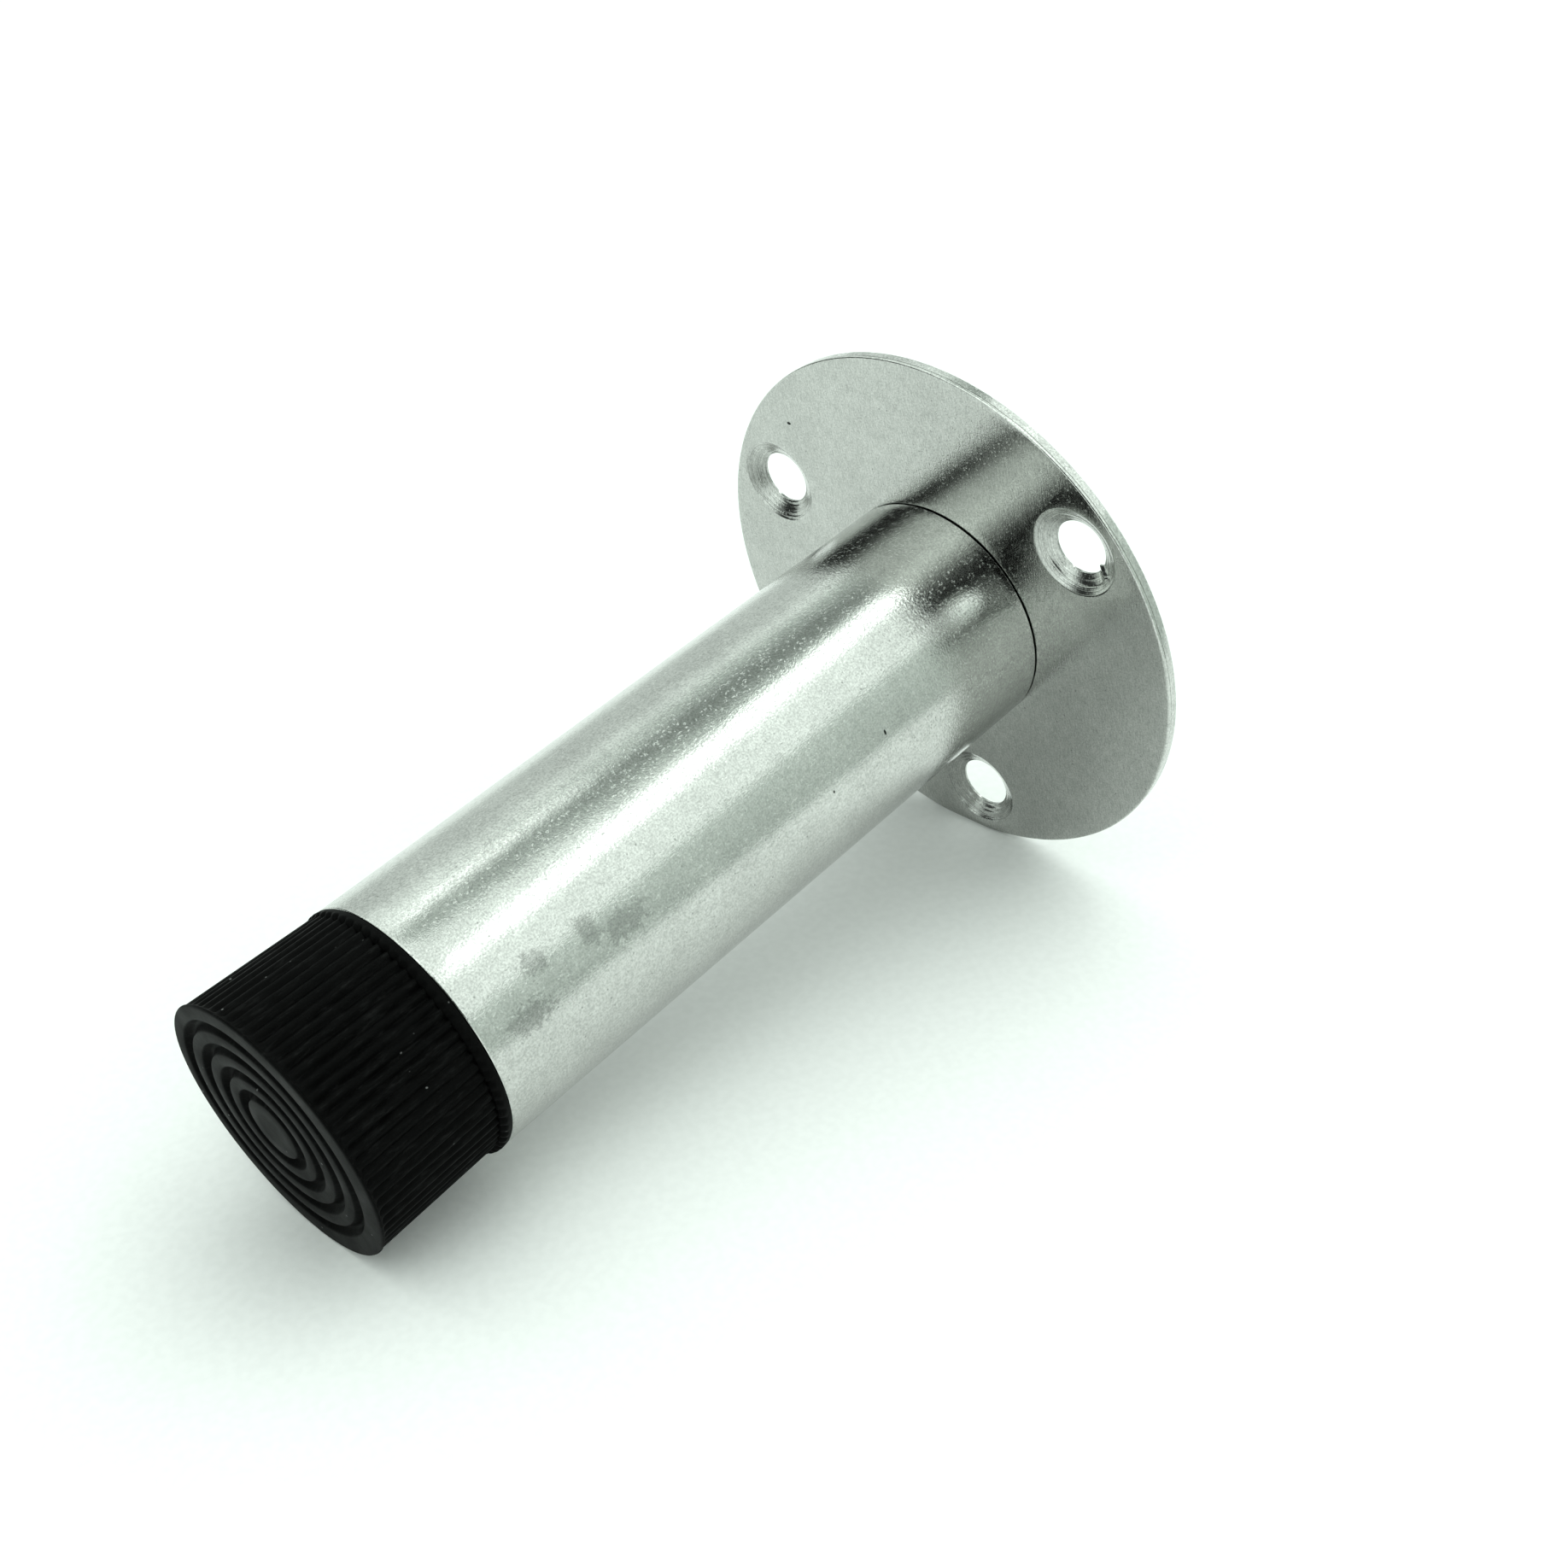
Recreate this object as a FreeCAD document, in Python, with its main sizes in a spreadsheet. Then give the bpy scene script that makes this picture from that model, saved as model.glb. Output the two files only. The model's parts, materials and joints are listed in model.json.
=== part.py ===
"""Wall door stop: a round screw-on plate, a tube standing square on it and a rubber buffer on the free end.

Row frame, in millimetres: the back of the plate lies on the plane Y = 0 with its centre at the origin, the
tube runs along -Y, away from the wall, and +Z is up. One fixing hole is straight below the tube and the
other two are above it, one each side. "Depth" below means a distance from the wall, so it is -Y.
"""

import FreeCAD, Part
import os
import re

import Sketcher

# Driving dimensions, in millimetres. A name that ends in count is a number of things.
DIMENSIONS = {
    # base plate
    "plate_radius": 25.0,
    "plate_thickness": 1.2,
    "plate_edge_round": 0.2,
    "fixing_circle_radius": 20.0,
    "fixing_hole_radius": 2.5,
    "fixing_sink_radius": 4.15,
    "fixing_land": 0.2,
    "fixing_count": 3,
    # tube
    "tube_radius": 11.0,
    "tube_bore_radius": 9.8,
    "tube_length": 61.7,
    "tube_edge_chamfer": 0.2,
    # clamp screw: M6 with a 90 degree countersunk head and a cross recess
    "screw_radius": 3.0,
    "screw_head_radius": 5.6,
    "screw_head_setback": 0.1,
    "screw_length": 12.0,
    "screw_tip_chamfer": 0.6,
    "recess_width": 1.6,
    "recess_reach": 3.3,
    "recess_depth": 2.2,
    # threaded plug
    "plug_setback": 0.3,
    "plug_length": 12.0,
    "plug_chamfer": 0.8,
    "plug_sink_clearance": 0.2,
    # rubber buffer, counted from the front end of the tube
    "buffer_gap": 0.8,
    "buffer_overhang": 12.1,
    # its head
    "bead_radius": 11.0,
    "bead_width": 0.8,
    "dip_radius": 10.65,
    "dip_width": 0.4,
    "barrel_radius": 10.95,
    "rib_groove_width": 0.44,
    "rib_groove_depth": 0.32,
    "rib_count": 70,
    "lip_radius": 11.2,
    "lip_width": 0.5,
    "lip_round": 0.3,
    # rings sunk in its face
    "ring_first_radius": 3.1,
    "ring_pitch": 2.02,
    "ring_width": 1.0,
    "ring_floor_width": 0.4,
    "ring_depth": 0.6,
    "ring_count": 4,
    # its neck and stem
    "neck_radius": 9.0,
    "neck_length": 3.0,
    "stem_radius": 9.75,
    "stem_root_radius": 8.8,
    "barb_land": 1.0,
    "barb_pitch": 3.6,
    "barb_count": 3,
    "stem_tip_radius": 8.0,
    "stem_tip_length": 1.0,
}

# Distances from the wall that several pieces share, as expressions on the sheet.
TUBE_FRONT = "plate_thickness + tube_length"
BUFFER_FACE = f"{TUBE_FRONT} + buffer_overhang"
BUFFER_HEAD_REAR = f"{TUBE_FRONT} + buffer_gap"
DIP_REAR = f"{BUFFER_HEAD_REAR} + bead_width"
DIP_FRONT = f"{DIP_REAR} + dip_width"
LIP_REAR = f"{BUFFER_FACE} - lip_width"
NECK_END = f"{BUFFER_HEAD_REAR} - neck_length"
PLUG_REAR = "plate_thickness + plug_setback"
PLUG_FRONT = f"{PLUG_REAR} + plug_length"

# The cone under the screw's head: its radius where it crosses the wall plane. It loses 1 mm per mm of depth.
CONE_AT_WALL = "screw_head_radius + screw_head_setback"
PLUG_SINK_RADIUS = f"{CONE_AT_WALL} - plate_thickness - plug_setback + plug_sink_clearance"

NEARLY_ZERO = 1e-6

doc = FreeCAD.newDocument("door_stop")
sheet = doc.addObject("Spreadsheet::Sheet", "Dimensions")


def fill_sheet():
    """Each driving dimension gets a row with its name and its value, and an alias for expressions."""
    for row, (name, value) in enumerate(DIMENSIONS.items(), start=1):
        sheet.set(f"A{row}", name)
        sheet.set(f"B{row}", str(value))
        sheet.setAlias(f"B{row}", name)
    doc.recompute()


def on_sheet(expression):
    """The expression with each dimension's name turned into a reference to its cell."""
    return re.sub(r"[a-z]\w*", lambda name: f"Dimensions.{name[0]}", expression)


def value_of(expression):
    """What an expression comes to, as a number."""
    return float(sheet.evalExpression(on_sheet(expression)))


def new_body(node):
    """An empty body whose label names its node."""
    body = doc.addObject("PartDesign::Body", f"body_{node}")
    body.Label = node
    return body


def origin_feature(body, role):
    """One of the body's own origin planes or axes."""
    return next(feature for feature in body.Origin.OriginFeatures if feature.Role == role)


def new_sketch(body, name, role="XZ_Plane", depth=None):
    """A sketch on an origin plane, moved away from the wall by depth. The XZ plane's normal is -Y."""
    sketch = body.newObject("Sketcher::SketchObject", name)
    sketch.AttachmentSupport = [(origin_feature(body, role), "")]
    sketch.MapMode = "FlatFace"
    if depth:
        sketch.setExpression("AttachmentOffset.Base.z", on_sheet(depth))
    doc.recompute()
    return sketch


def pin_point(sketch, geometry, point, x, y):
    """Ties one point of a sketch to two expressions, its distances from the sketch's axes."""
    for kind, axis, expression in (("DistanceX", -2, x), ("DistanceY", -1, y)):
        number = value_of(expression)
        if abs(number) < NEARLY_ZERO:
            sketch.addConstraint(Sketcher.Constraint("PointOnObject", geometry, point, axis))
            continue
        ends = (-1, 1, geometry, point) if number > 0 else (geometry, point, -1, 1)
        index = sketch.addConstraint(Sketcher.Constraint(kind, *ends, abs(number)))
        sketch.setExpression(f"Constraints[{index}]", on_sheet(expression if number > 0 else f"-({expression})"))


def add_circle(sketch, radius, x="0", y="0"):
    """A circle whose radius and centre follow expressions on the sheet."""
    centre = FreeCAD.Vector(value_of(x), value_of(y), 0)
    circle = Part.Circle(centre, FreeCAD.Vector(0, 0, 1), value_of(radius))
    geometry = sketch.addGeometry(circle, False)
    pin_point(sketch, geometry, 3, x, y)
    index = sketch.addConstraint(Sketcher.Constraint("Radius", geometry, circle.Radius))
    sketch.setExpression(f"Constraints[{index}]", on_sheet(radius))


def add_outline(sketch, corners):
    """A closed outline of straight lines whose corners, pairs of expressions, follow the sheet."""
    points = [FreeCAD.Vector(value_of(x), value_of(y), 0) for x, y in corners]
    for start, end in zip(points, points[1:] + points[:1]):
        sketch.addGeometry(Part.LineSegment(start, end), False)
    for line, (x, y) in enumerate(corners):
        sketch.addConstraint(Sketcher.Constraint("Coincident", line, 2, (line + 1) % len(points), 1))
        pin_point(sketch, line, 1, x, y)
    doc.recompute()


def turned(body, corners):
    """A piece turned about the tube's axis. A corner of its outline is (distance from the wall, radius)."""
    profile = new_sketch(body, f"{body.Label}_profile", "YZ_Plane")
    add_outline(profile, [(f"-({depth})", radius) for depth, radius in corners])
    turning = body.newObject("PartDesign::Revolution", f"{body.Label}_turning")
    turning.Profile = profile
    turning.ReferenceAxis = (origin_feature(body, "Y_Axis"), [""])
    turning.Angle = 360.0
    doc.recompute()
    return turning


def rim(feature, depth, radius):
    """The names of a feature's round edges of that radius at that distance from the wall."""
    names = []
    for number, edge in enumerate(feature.Shape.Edges, start=1):
        if not isinstance(edge.Curve, Part.Circle):
            continue
        off_plane = abs(edge.Curve.Center.y + value_of(depth))
        off_radius = abs(edge.Curve.Radius - value_of(radius))
        if max(off_plane, off_radius) < NEARLY_ZERO:
            names.append(f"Edge{number}")
    return names


def dress(body, kind, base, edges, size_property, size):
    """A fillet or chamfer on some of a feature's edges, its size bound to the sheet."""
    dressed = body.newObject(f"PartDesign::{kind}", f"{body.Label}_{kind.lower()}")
    dressed.Base = (base, edges)
    dressed.setExpression(size_property, on_sheet(size))
    doc.recompute()
    return dressed


def repeat_round(body, feature, count):
    """Copies of a feature, evenly spaced round the tube's axis."""
    pattern = body.newObject("PartDesign::PolarPattern", f"{feature.Name}_ring")
    pattern.Originals = [feature]
    pattern.Axis = (origin_feature(body, "Y_Axis"), [""])
    pattern.Angle = 360.0
    pattern.setExpression("Occurrences", on_sheet(count))
    body.Tip = pattern
    doc.recompute()
    return pattern


def make_base_plate():
    """A stamped disc with a rounded front edge, a centre hole sunk from behind and three fixing holes."""
    body = new_body("base_plate")
    disc = turned(
        body,
        [
            ("0", CONE_AT_WALL),
            ("0", "plate_radius"),
            ("plate_thickness", "plate_radius"),
            ("plate_thickness", f"{CONE_AT_WALL} - plate_thickness"),
        ],
    )
    front_edge = rim(disc, "plate_thickness", "plate_radius")
    dress(body, "Fillet", disc, front_edge, "Radius", "plate_edge_round")
    make_fixing_holes(body)
    return body


def make_fixing_holes(body):
    """Three holes sunk from the front, each with a short straight land at the back of the plate."""
    centre = new_sketch(body, "fixing_centre", depth="plate_thickness")
    add_circle(centre, "fixing_hole_radius", "0", "-fixing_circle_radius")
    doc.recompute()
    hole = body.newObject("PartDesign::Hole", "fixing_hole")
    hole.Profile = centre
    doc.recompute()
    hole.Threaded = False
    hole.DepthType = "ThroughAll"
    hole.HoleCutType = "Countersink"
    hole.HoleCutCustomValues = True
    hole.setExpression("Diameter", on_sheet("fixing_hole_radius * 2"))
    hole.setExpression("HoleCutDiameter", on_sheet("fixing_sink_radius * 2"))
    sink_width = on_sheet("(fixing_sink_radius - fixing_hole_radius)")
    sink_depth = on_sheet("(plate_thickness - fixing_land)")
    hole.setExpression("HoleCutCountersinkAngle", f"2 * atan({sink_width} / {sink_depth})")
    doc.recompute()
    repeat_round(body, hole, "fixing_count")


def make_tube():
    """A plain tube, its ends square and their outer edges broken."""
    body = new_body("tube")
    section = new_sketch(body, "tube_section", depth="plate_thickness")
    add_circle(section, "tube_radius")
    add_circle(section, "tube_bore_radius")
    doc.recompute()
    length = body.newObject("PartDesign::Pad", "tube_length_of_bar")
    length.Profile = section
    length.setExpression("Length", on_sheet("tube_length"))
    doc.recompute()
    ends = rim(length, "plate_thickness", "tube_radius") + rim(length, TUBE_FRONT, "tube_radius")
    dress(body, "Chamfer", length, ends, "Size", "tube_edge_chamfer")
    return body


def make_threaded_plug():
    """A plug pressed into the rear of the tube, tapped through, its mouth sunk for the tip of the screw's cone.

    Its rear face stands a little inside the tube, so the screw pulls the tube's rim, not the plug, onto the
    plate. The thread is a plain hole at its full diameter.
    """
    body = new_body("threaded_plug")
    turned(
        body,
        [
            (PLUG_REAR, PLUG_SINK_RADIUS),
            (PLUG_REAR, "tube_bore_radius - plug_chamfer"),
            (f"{PLUG_REAR} + plug_chamfer", "tube_bore_radius"),
            (f"{PLUG_FRONT} - plug_chamfer", "tube_bore_radius"),
            (PLUG_FRONT, "tube_bore_radius - plug_chamfer"),
            (PLUG_FRONT, "screw_radius + plug_chamfer"),
            (f"{PLUG_FRONT} - plug_chamfer", "screw_radius"),
            (f"{PLUG_REAR} + {PLUG_SINK_RADIUS} - screw_radius", "screw_radius"),
        ],
    )
    return body


def make_clamp_screw():
    """A countersunk machine screw whose head lies just under the back of the plate, with a cross recess."""
    body = new_body("clamp_screw")
    tip = "screw_head_setback + screw_length"
    shank = turned(
        body,
        [
            ("screw_head_setback", "0"),
            ("screw_head_setback", "screw_head_radius"),
            (f"{CONE_AT_WALL} - screw_radius", "screw_radius"),
            (f"{tip} - screw_tip_chamfer", "screw_radius"),
            (tip, "screw_radius - screw_tip_chamfer"),
            (tip, "0"),
        ],
    )
    cross = new_sketch(body, "cross_recess", depth="screw_head_setback")
    near, far = "recess_width / 2", "recess_reach"
    quarter = [(near, far), (near, near), (far, near)]
    corners = []
    for x_sign, z_sign, order in (("", "", 1), ("", "-", -1), ("-", "-", 1), ("-", "", -1)):
        corners += [(f"{x_sign}({x})", f"{z_sign}({z})") for x, z in quarter[::order]]
    add_outline(cross, corners)
    cut_along_depth(body, "cross_pocket", cross, "recess_depth", shank)
    return body


def cut_along_depth(body, name, sketch, length, before):
    """Cuts a sketch on an XZ plane away from the wall, and makes sure that it took something off."""
    pocket = body.newObject("PartDesign::Pocket", name)
    pocket.Profile = sketch
    pocket.Reversed = True
    pocket.setExpression("Length", on_sheet(length))
    doc.recompute()
    if pocket.Shape.Volume > before.Shape.Volume - NEARLY_ZERO:
        raise RuntimeError(f"{name} cut nothing")
    return pocket


def buffer_outline():
    """The rubber's outline from the middle of its face, round the head and down the neck and stem."""
    corners = [(BUFFER_FACE, "0")]
    ring_floor = f"{BUFFER_FACE} - ring_depth"
    for ring in range(round(cell("ring_count"))):
        middle = f"ring_first_radius + {ring} * ring_pitch"
        corners += [
            (BUFFER_FACE, f"{middle} - ring_width / 2"),
            (ring_floor, f"{middle} - ring_floor_width / 2"),
            (ring_floor, f"{middle} + ring_floor_width / 2"),
            (BUFFER_FACE, f"{middle} + ring_width / 2"),
        ]
    corners += [
        (BUFFER_FACE, "lip_radius"),
        (LIP_REAR, "lip_radius"),
        (LIP_REAR, "barrel_radius"),
        (DIP_FRONT, "barrel_radius"),
        (DIP_FRONT, "dip_radius"),
        (DIP_REAR, "dip_radius"),
        (DIP_REAR, "bead_radius"),
        (BUFFER_HEAD_REAR, "bead_radius"),
        (BUFFER_HEAD_REAR, "neck_radius"),
        (NECK_END, "neck_radius"),
    ]
    for barb in range(round(cell("barb_count"))):
        front = f"{NECK_END} - {barb} * barb_pitch"
        corners += [
            (front, "stem_radius"),
            (f"{front} - barb_land", "stem_radius"),
            (f"{front} - barb_pitch", "stem_root_radius"),
        ]
    stem_end = f"{NECK_END} - barb_count * barb_pitch - stem_tip_length"
    return corners + [(stem_end, "stem_tip_radius"), (stem_end, "0")]


def make_rubber_buffer():
    """One rubber moulding: a ribbed head with a ringed face, and a barbed stem that pushes into the tube."""
    body = new_body("rubber_buffer")
    moulding = turned(body, buffer_outline())
    lip_edge = rim(moulding, BUFFER_FACE, "lip_radius")
    rounded = dress(body, "Fillet", moulding, lip_edge, "Radius", "lip_round")
    groove = new_sketch(body, "rib_groove", depth=DIP_FRONT)
    mouth = "barrel_radius + rib_groove_depth"
    corners = [
        ("0", "barrel_radius - rib_groove_depth"),
        ("rib_groove_width", mouth),
        ("-rib_groove_width", mouth),
    ]
    add_outline(groove, corners)
    rib_length = f"{BUFFER_FACE} - lip_width - ({DIP_FRONT})"
    cut = cut_along_depth(body, "rib_groove_cut", groove, rib_length, rounded)
    repeat_round(body, cut, "rib_count")
    return body


def cell(name):
    """The value of one driving dimension."""
    return float(sheet.get(name))


def check(bodies):
    """Stops if any object failed to compute, or if a body isn't one sound solid."""
    doc.recompute()
    for item in doc.Objects:
        if "Invalid" in item.State or "Error" in item.State:
            raise RuntimeError(f"{item.Label} failed: {item.State}")
    for body in bodies:
        shape = body.Shape
        if shape.isNull() or not shape.isValid() or len(shape.Solids) != 1:
            raise RuntimeError(f"{body.Label} is not one valid solid")


fill_sheet()
bodies = [
    make_base_plate(),
    make_clamp_screw(),
    make_threaded_plug(),
    make_tube(),
    make_rubber_buffer(),
]
check(bodies)

os.makedirs("parts", exist_ok=True)
for body in bodies:
    body.Placement = FreeCAD.Placement()
    body.Shape.exportStep(f"parts/{body.Label}.step")
    print(f"{body.Label}: {body.Shape.Volume:.1f} mm3, box {body.Shape.BoundBox}")
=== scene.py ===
"""Looks of a wall door stop: a round screw-on plate, a satin nickel tube and a ribbed rubber buffer.

Row frame: the back of the plate lies on the plane y = 0, the tube runs along -Y and +Z is up. Shapes are
worked out in millimetres and turned into metres when a mesh is made. The object lies on its side on a
pale floor, which touches the rim of the plate and the lip of the rubber, so the floor is not level here.
"""

import json
import math

import bmesh
import bpy
from mathutils import Matrix, Vector, noise


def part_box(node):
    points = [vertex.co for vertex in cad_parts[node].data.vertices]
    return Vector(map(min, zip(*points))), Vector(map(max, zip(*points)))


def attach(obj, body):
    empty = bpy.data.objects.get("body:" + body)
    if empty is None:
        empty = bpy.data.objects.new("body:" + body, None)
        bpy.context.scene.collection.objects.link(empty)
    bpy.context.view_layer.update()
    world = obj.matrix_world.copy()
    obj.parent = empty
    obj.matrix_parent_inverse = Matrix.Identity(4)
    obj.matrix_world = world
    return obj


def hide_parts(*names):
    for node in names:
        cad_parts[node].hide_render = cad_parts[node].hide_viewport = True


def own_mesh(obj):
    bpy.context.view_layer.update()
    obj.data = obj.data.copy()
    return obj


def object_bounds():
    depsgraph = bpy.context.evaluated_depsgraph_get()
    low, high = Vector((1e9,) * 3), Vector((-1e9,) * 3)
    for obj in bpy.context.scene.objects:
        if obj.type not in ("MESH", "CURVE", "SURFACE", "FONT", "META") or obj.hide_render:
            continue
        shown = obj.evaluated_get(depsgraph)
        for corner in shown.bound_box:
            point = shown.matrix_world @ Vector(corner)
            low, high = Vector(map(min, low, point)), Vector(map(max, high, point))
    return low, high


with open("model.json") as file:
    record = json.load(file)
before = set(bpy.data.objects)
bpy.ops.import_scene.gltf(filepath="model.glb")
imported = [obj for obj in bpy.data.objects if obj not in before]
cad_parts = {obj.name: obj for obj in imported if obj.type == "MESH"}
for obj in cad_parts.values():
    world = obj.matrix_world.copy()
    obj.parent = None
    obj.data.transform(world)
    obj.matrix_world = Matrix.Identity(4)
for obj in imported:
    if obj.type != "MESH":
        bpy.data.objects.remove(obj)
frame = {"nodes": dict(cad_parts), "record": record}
cad_low, cad_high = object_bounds()

MM = 0.001
# Mesh edges shorter than this are welded away. Cutting the holes leaves a few.
SLIVER = 0.005 * MM

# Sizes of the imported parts, in millimetres.
plate_low, plate_high = (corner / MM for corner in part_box("base_plate"))
tube_low, tube_high = (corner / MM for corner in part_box("tube"))
rubber_low, rubber_high = (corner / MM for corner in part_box("rubber_buffer"))
mounts = {mount["name"]: mount for mount in frame["record"]["mounts"]}
fixing = mounts["fixing_holes"]["dims"]

PLATE_R = plate_high.x
PLATE_FRONT = plate_low.y
TUBE_R = tube_high.x
TUBE_FRONT = tube_low.y
RUBBER_FACE = rubber_low.y
RUBBER_END = rubber_high.y
LIP_R = rubber_high.x
FIXING_CIRCLE_R = fixing["pcd_mm"] / 2
FIXING_HOLE_R = fixing["hole_r_mm"]
FIXING_ANGLES = [-90 + 360 / fixing["count"] * step for step in range(fixing["count"])]

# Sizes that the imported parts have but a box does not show, in millimetres.
SINK_R = 4.15
SINK_LAND = 0.2
CENTRE_CONE_BACK_R = 5.7
TUBE_BORE_R = 9.8
RUBBER_GAP = 0.8
NECK_R = 9.0
NECK_LENGTH = 3.0
STEM_R = 9.75
STEM_ROOT_R = 8.8
STEM_TIP_R = 8.0
BARB_COUNT = 3
BARB_LAND = 1.0
BARB_PITCH = 3.6
RIB_COUNT = 70

# Columns round the turned meshes.
PLATE_COLUMNS = 360
SINK_COLUMNS = 100
TUBE_COLUMNS = 192
COLUMNS_PER_RIB = 8

# Directions in this file are (azimuth, elevation) in degrees: azimuth 0 is -Y and 90 is +X.
# The camera stands at its place with its back towards CAMERA_BACK. Its roll is in degrees and its lens
# in millimetres.
CAMERA_PLACE = Vector((116.77, -111.32, 94.35)) * MM
CAMERA_BACK = (48.69, 33.56)
CAMERA_ROLL = 13.82
CAMERA_LENS = 47.233
CAMERA_SHIFT = (-0.0773, -0.0316)
FLOOR_NORMAL = Vector((0.1044, 0.1827, 0.9776)).normalized()

# Colours of the surroundings, of the soft boxes and of the cards, and the level of the surroundings.
LIGHT_TINT = (0.905, 1.0, 0.942)
STRIP_TINT = (0.94, 1.0, 0.965)
CLOTH_TINT = (0.965, 1.0, 0.975)
WORLD_LEVEL = 1.22
# Broad patches of the surroundings: direction, level, and the angles from it where the patch starts and
# is full.
WORLD_PATCHES = (
    ((10, 56), 1.30, 40, 14),
    ((-36, 46), 0.72, 30, 10),
    ((-54, 0), 0.05, 46, 30),
    ((38, 26), 0.02, 33, 14),
    ((-120, 16), 0.6, 36, 10),
)


def direction(azimuth, elevation):
    """The unit vector towards a direction."""
    a, e = math.radians(azimuth), math.radians(elevation)
    return Vector((math.sin(a) * math.cos(e), -math.cos(a) * math.cos(e), math.sin(e)))


# ---------------------------------------------------------------- meshes


def arc(centre_r, centre_y, radius, start, end, steps):
    """Points of a profile's arc. Degrees: 0 points away from the axis and 90 towards the wall."""
    angles = [math.radians(start + (end - start) * step / steps) for step in range(steps + 1)]
    return [(centre_r + radius * math.cos(a), centre_y + radius * math.sin(a)) for a in angles]


def spread(start, end, steps):
    """Evenly spaced profile points from one to the other, without the last."""
    shares = [step / steps for step in range(steps)]
    return [tuple(a + (b - a) * share for a, b in zip(start, end)) for share in shares]


def turned_mesh(name, profile, columns, shape=None, loop=False):
    """A mesh turned round the Y axis from (radius, y) points. shape(angle, radius, y) may move each vertex,
    and loop joins the last point to the first. A point at radius 0 is a single vertex."""
    vertices = []
    rings = []
    for radius, y in profile:
        first = len(vertices)
        if radius == 0:
            vertices.append(Vector((0, y, 0)) * MM)
            rings.append([first] * columns)
            continue
        for column in range(columns):
            angle = 2 * math.pi * column / columns
            r, depth = shape(angle, radius, y) if shape else (radius, y)
            vertices.append(Vector((r * math.cos(angle), depth, r * math.sin(angle))) * MM)
        rings.append(list(range(first, first + columns)))
    faces = []
    pairs = list(zip(rings, rings[1:])) + ([(rings[-1], rings[0])] if loop else [])
    for here, there in pairs:
        for column in range(columns):
            after = (column + 1) % columns
            corners = [here[column], here[after], there[after], there[column]]
            faces.append(list(dict.fromkeys(corners)))
    mesh = bpy.data.meshes.new(name)
    mesh.from_pydata(vertices, [], faces)
    return mesh


def finish_mesh(mesh, sharp_angle):
    """Welds slivers, turns every face outwards and shades smooth, except over edges sharper than the
    angle."""
    work = bmesh.new()
    work.from_mesh(mesh)
    bmesh.ops.remove_doubles(work, verts=work.verts, dist=SLIVER)
    bmesh.ops.dissolve_degenerate(work, edges=work.edges, dist=SLIVER)
    bmesh.ops.recalc_face_normals(work, faces=work.faces)
    work.to_mesh(mesh)
    work.free()
    mesh.shade_smooth()
    mesh.set_sharp_from_angle(angle=math.radians(sharp_angle))


def new_object(mesh):
    """An object for a mesh, in the scene."""
    made = bpy.data.objects.new(mesh.name, mesh)
    bpy.context.collection.objects.link(made)
    return made


def wander(angle, y, across, seed):
    """A smooth random number from -1 to 1 that varies round the axis and along it; across is in mm."""
    place = Vector((math.cos(angle) * PLATE_R, y, math.sin(angle) * PLATE_R)) / across
    return noise.noise(place + Vector((seed, seed, seed)))


# ---------------------------------------------------------------- base plate

TORN_FROM = PLATE_FRONT + 0.30


def plate_profile():
    """The stamped disc: rounded at the front, and torn and slightly smaller towards its back edge. Its
    centre hole is a cone that widens to the back."""
    edge_round = 0.18
    sink_front_r = CENTRE_CONE_BACK_R + PLATE_FRONT
    return [
        (sink_front_r, PLATE_FRONT),
        (PLATE_R - edge_round - 0.5, PLATE_FRONT),
        (PLATE_R - edge_round - 0.2, PLATE_FRONT + 0.004),
        *arc(PLATE_R - edge_round, PLATE_FRONT + edge_round + 0.02, edge_round, -90, 0, 8),
        (PLATE_R, TORN_FROM),
        (PLATE_R - 0.17, TORN_FROM + 0.05),
        (PLATE_R - 0.04, TORN_FROM + 0.12),
        (PLATE_R - 0.05, -0.1),
        (PLATE_R - 0.12, 0),
        (CENTRE_CONE_BACK_R, 0),
    ]


def plate_edge_shape(angle, radius, y):
    """The torn band at the back of the stamped edge is uneven; its burnished front part hardly is."""
    if radius < PLATE_R - 0.2 or y == 0:
        return radius, y
    torn = y > TORN_FROM - 0.02
    uneven = 0.03 if torn else 0.004
    across = 1.6 if torn else 6.0
    inward = uneven * (0.5 + 0.5 * wander(angle, y * 2, across, seed=3.1))
    drift = 0.05 * wander(angle, 0, across=2.5, seed=9.7) if torn and y < -0.05 else 0
    return radius - inward, y + drift


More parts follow.
